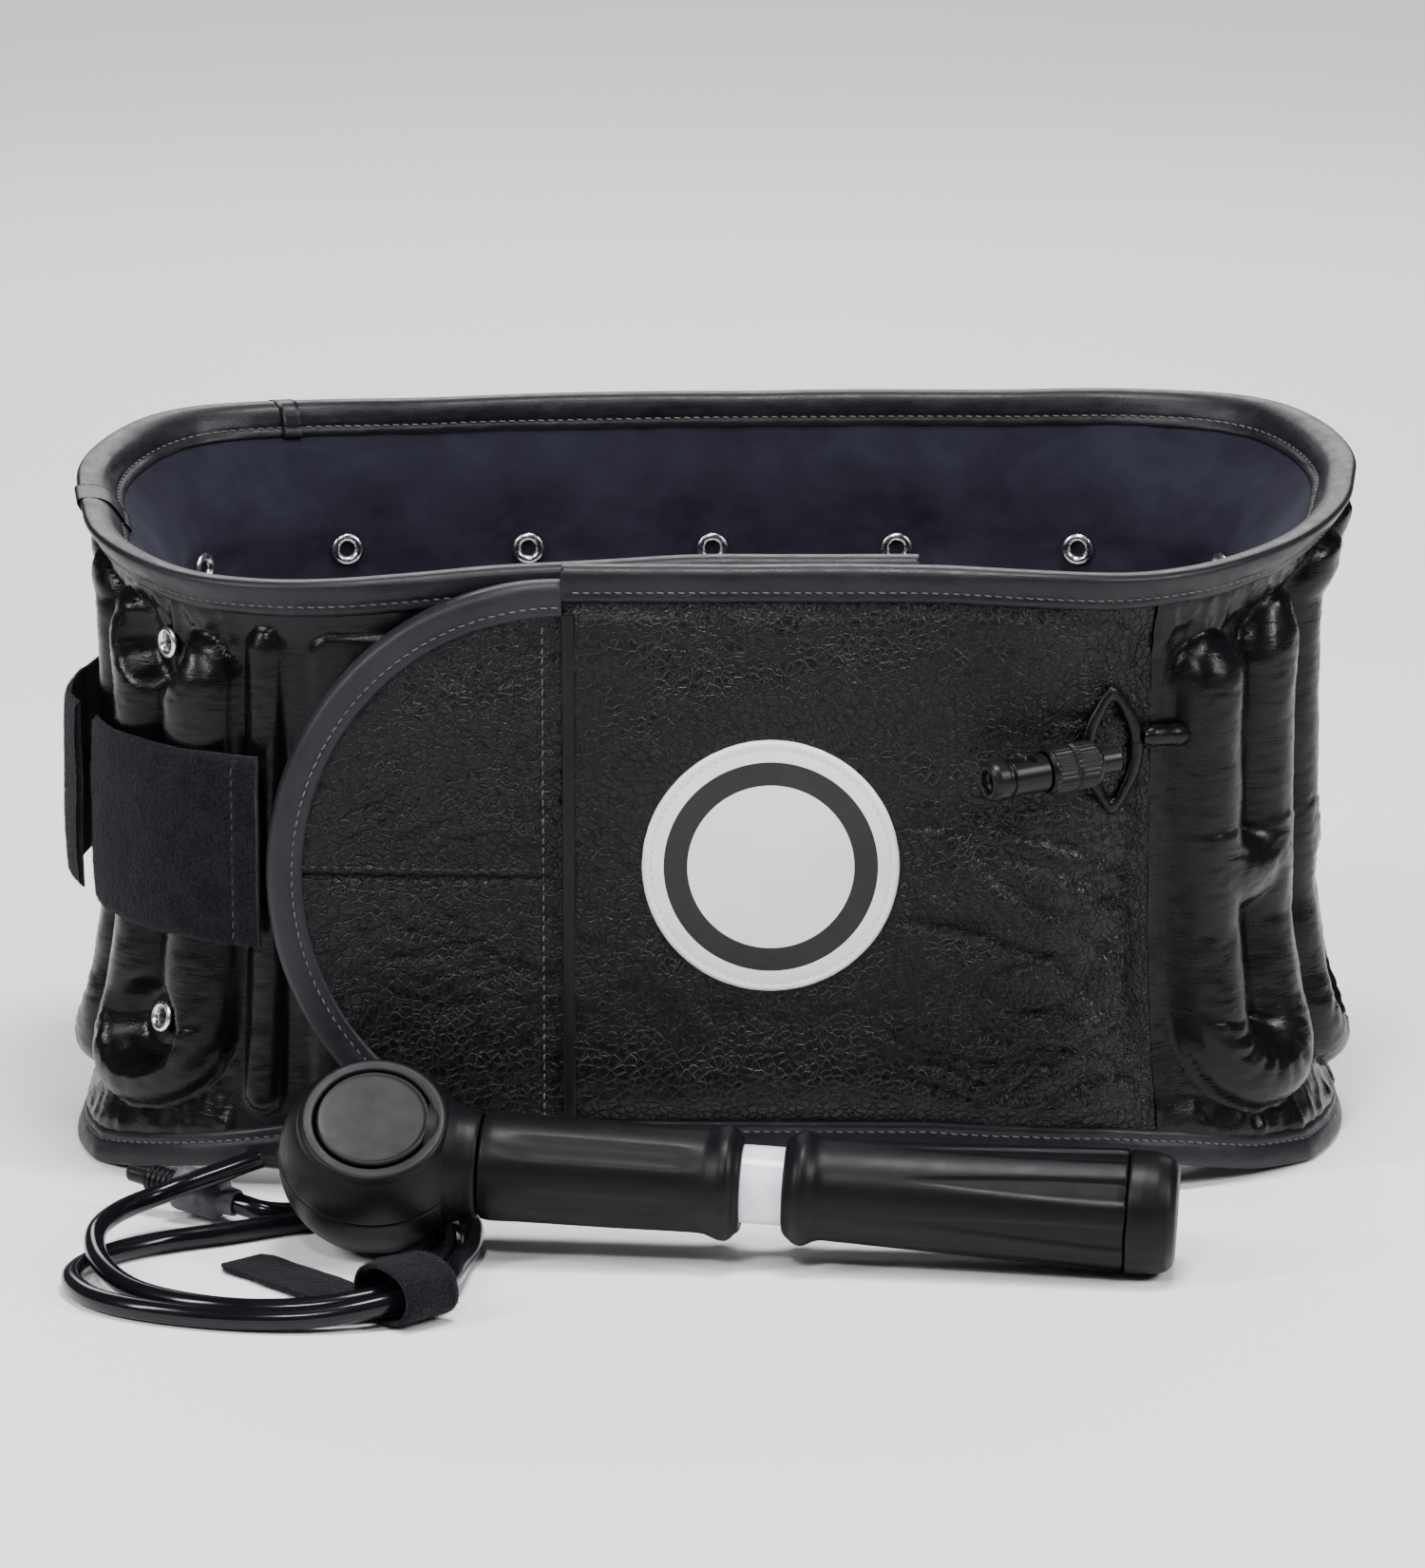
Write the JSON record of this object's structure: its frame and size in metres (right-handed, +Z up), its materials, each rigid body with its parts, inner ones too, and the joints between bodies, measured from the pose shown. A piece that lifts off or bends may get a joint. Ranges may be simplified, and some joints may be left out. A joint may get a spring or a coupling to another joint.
{
  "type": "inflatable lumbar support belt with hand pump",
  "caption": "Inflatable waist belt with vertical air columns, an overlapping hook-and-loop front, an air valve, and a hand pump on a coiled hose.",
  "frame": {"origin": "centre of the footprint of belt and pump, hose left out, on the floor", "axes": "+X across the wearer to the right of the overlapping front as seen from the front, -Y the front with the pump, +Z up along the air columns"},
  "size_m": [0.347, 0.2953, 0.1849],
  "materials": {
    "skin_leather": "smooth glossy",
    "panel_leather": "pebbled satin",
    "binding_leather": "satin",
    "lining_suede": "brushed matt",
    "strap_fabric": "fuzzy loop pile",
    "hook_tape": "matt pile",
    "eyelet_metal": "polished",
    "patch_white": "flat print",
    "patch_charcoal": "flat print",
    "pump_plastic": "satin",
    "tube_plastic": "translucent satin",
    "valve_plastic": "satin",
    "hose_vinyl": "glossy",
    "connector_plastic": "satin"
  },
  "bodies": {
    "belt": {"lining_band": "lining_suede", "outer_shell": "skin_leather", "cells_left": "skin_leather", "cells_back_left": "skin_leather", "cells_back": "skin_leather", "cells_back_right": "skin_leather", "cells_right": "skin_leather", "tail_stay": "skin_leather", "valve_collar": "skin_leather", "air_duct": "skin_leather", "top_binding": "binding_leather", "bottom_binding": "binding_leather", "binding_tab": "binding_leather", "seam_piping": "binding_leather", "front_panel": "panel_leather", "tail_pad": "panel_leather", "loop_panel": "hook_tape", "patch_base": "patch_white", "patch_ring": "patch_charcoal", "valve_body": "valve_plastic", "strap_rear": "strap_fabric", "eyelet_t01": "eyelet_metal", "eyelet_t02": "eyelet_metal", "eyelet_t03": "eyelet_metal", "eyelet_t04": "eyelet_metal", "eyelet_t05": "eyelet_metal", "eyelet_t06": "eyelet_metal", "eyelet_t07": "eyelet_metal", "eyelet_t08": "eyelet_metal", "eyelet_t09": "eyelet_metal", "eyelet_t10": "eyelet_metal", "eyelet_b01": "eyelet_metal", "eyelet_b02": "eyelet_metal", "eyelet_b03": "eyelet_metal", "eyelet_b04": "eyelet_metal", "eyelet_b05": "eyelet_metal", "eyelet_b06": "eyelet_metal", "eyelet_b07": "eyelet_metal", "eyelet_b08": "eyelet_metal", "eyelet_b09": "eyelet_metal", "eyelet_b10": "eyelet_metal"},
    "flap_end": {"flap_panel": "panel_leather", "flap_lining": "lining_suede", "flap_hook": "hook_tape", "flap_binding": "binding_leather"},
    "strap_end": {"strap_front": "strap_fabric"},
    "valve_ring": {"valve_sleeve": "valve_plastic"},
    "pump": {"pump_head": "pump_plastic", "head_cap": "pump_plastic", "barrel_grip": "pump_plastic", "pump_tube": "tube_plastic", "hose_barb": "pump_plastic", "hose": "hose_vinyl", "hose_plug": "connector_plastic", "hose_tie": "strap_fabric"},
    "handle": {"handle_grip": "pump_plastic", "handle_end_cap": "pump_plastic", "piston": "tube_plastic"},
    "button": {"release_button": "pump_plastic"}
  },
  "joints": [
    {"name": "flap_hinge", "type": "hinge", "parent": "belt", "child": "flap_end", "pos_m": [-0.04, -0.053, 0.0873], "axis": [0, 0, 1], "range_deg": [0, 12]},
    {"name": "strap_hinge", "type": "hinge", "parent": "belt", "child": "strap_end", "pos_m": [-0.16419, 0.00541, 0.095], "axis": [0, 0, -1], "range_deg": [0, 35]},
    {"name": "valve_twist_slide", "type": "slide", "parent": "belt", "child": "valve_ring", "axis": [-0.8873, -0.4575, -0.0582], "range_m": [0, 0.0018], "stiffness_N_per_m": 400},
    {"name": "pump_lift", "type": "slide", "parent": "belt", "child": "pump", "axis": [0, 0, 1], "range_m": [-0.0005, 0.25]},
    {"name": "handle_stroke", "type": "slide", "parent": "pump", "child": "handle", "axis": [0.9941, -0.0986, -0.0459], "range_m": [-0.01, 0.06]},
    {"name": "release_press", "type": "slide", "parent": "pump", "child": "button", "axis": [0, 0.6293, -0.7771], "range_m": [0, 0.0025], "stiffness_N_per_m": 800, "springref_m": -0.0005}
  ]
}
